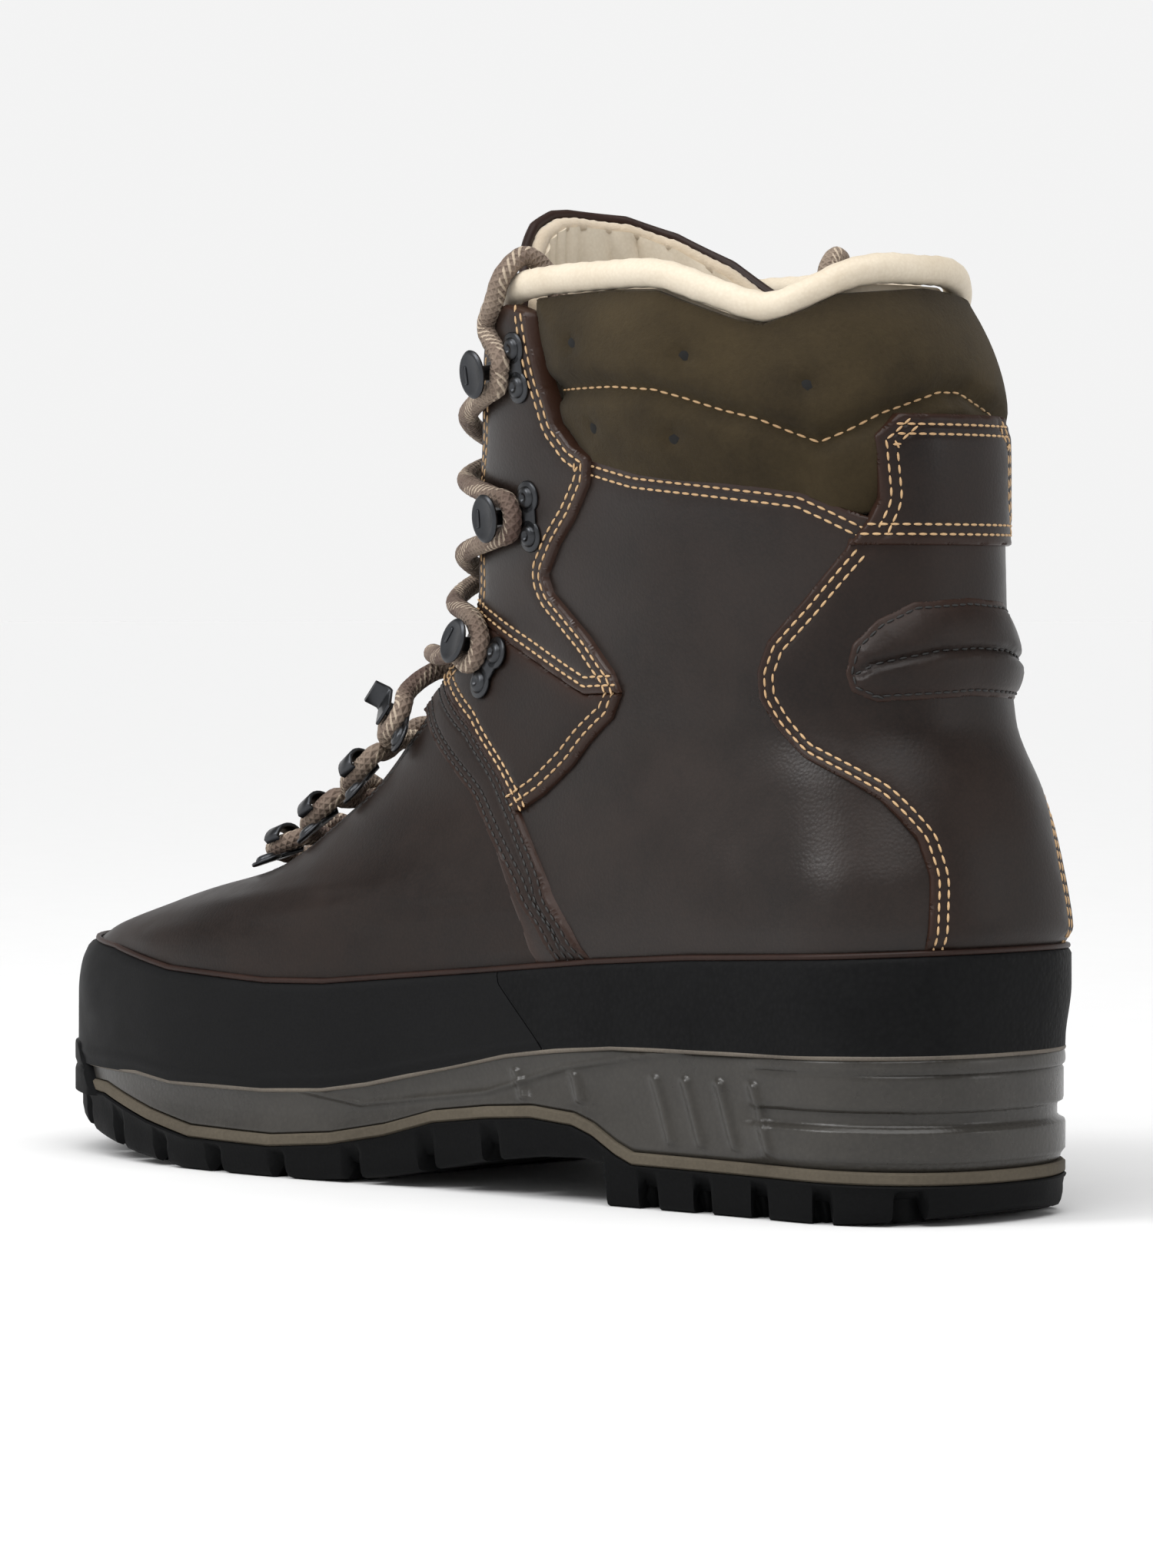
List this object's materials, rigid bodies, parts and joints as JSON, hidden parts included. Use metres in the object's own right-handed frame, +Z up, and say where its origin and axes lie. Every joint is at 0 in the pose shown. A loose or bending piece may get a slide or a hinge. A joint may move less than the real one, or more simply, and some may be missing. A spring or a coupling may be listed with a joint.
{
  "type": "mountaineering boot",
  "caption": "Left high-cut leather mountaineering boot on a lugged sole, with rubber rand, padded collar, tongue, lace hooks and lace.",
  "frame": {"origin": "middle of the footprint, on the ground under the sole", "axes": "+X towards the heel, -Y towards the outer side of the foot, +Z up"},
  "size_m": [0.3048, 0.1, 0.23],
  "materials": {
    "leather": "oiled, semi-gloss",
    "nubuck": "matte, napped",
    "cream_leather": "satin",
    "outsole_rubber": "matte",
    "rand_rubber": "matte",
    "midsole_foam": "satin",
    "wedge_rubber": "matte",
    "gunmetal": "satin",
    "lace_cord": "woven",
    "aglet_metal": "satin",
    "board": "matte",
    "foam": "matte",
    "shank_steel": "brushed"
  },
  "bodies": {
    "boot": {"vamp": "leather", "heel_counter_panel": "leather", "heel_tab": "leather", "achilles_pad": "leather", "quarter_lateral": "leather", "quarter_medial": "leather", "facing_lateral": "leather", "facing_medial": "leather", "ankle_wing_lateral": "leather", "ankle_wing_medial": "leather", "instep_strip_lateral": "leather", "instep_strip_medial": "leather", "collar_nubuck": "nubuck", "tongue_base": "nubuck", "collar_roll": "cream_leather", "lining": "cream_leather", "outsole": "outsole_rubber", "rand_front": "rand_rubber", "rand_rear": "rand_rubber", "midsole": "midsole_foam", "sole_wedge": "wedge_rubber", "lace_loop_1_lateral": "gunmetal", "lace_loop_1_medial": "gunmetal", "lace_loop_2_lateral": "gunmetal", "lace_loop_2_medial": "gunmetal", "lace_loop_3_lateral": "gunmetal", "lace_loop_3_medial": "gunmetal", "locking_hook_lateral": "gunmetal", "locking_hook_medial": "gunmetal", "hook_1_lateral": "gunmetal", "hook_1_medial": "gunmetal", "hook_2_lateral": "gunmetal", "hook_2_medial": "gunmetal", "hook_3_lateral": "gunmetal", "hook_3_medial": "gunmetal", "lace_laced": "lace_cord", "lace_end_lateral": "lace_cord", "lace_end_medial": "lace_cord", "aglet_lateral": "aglet_metal", "aglet_medial": "aglet_metal", "insole_board": "board", "toe_stiffener": "board", "heel_stiffener": "board", "footbed": "foam", "collar_padding": "foam", "shank": "shank_steel"},
    "tongue": {"tongue_outer": "nubuck", "tongue_lining": "cream_leather"}
  },
  "joints": [
    {"name": "tongue_tilt", "type": "hinge", "parent": "boot", "child": "tongue", "pos_m": [-0.0465, 0.0009, 0.085], "axis": [0, 1, 0], "range_deg": [0, 8]}
  ]
}
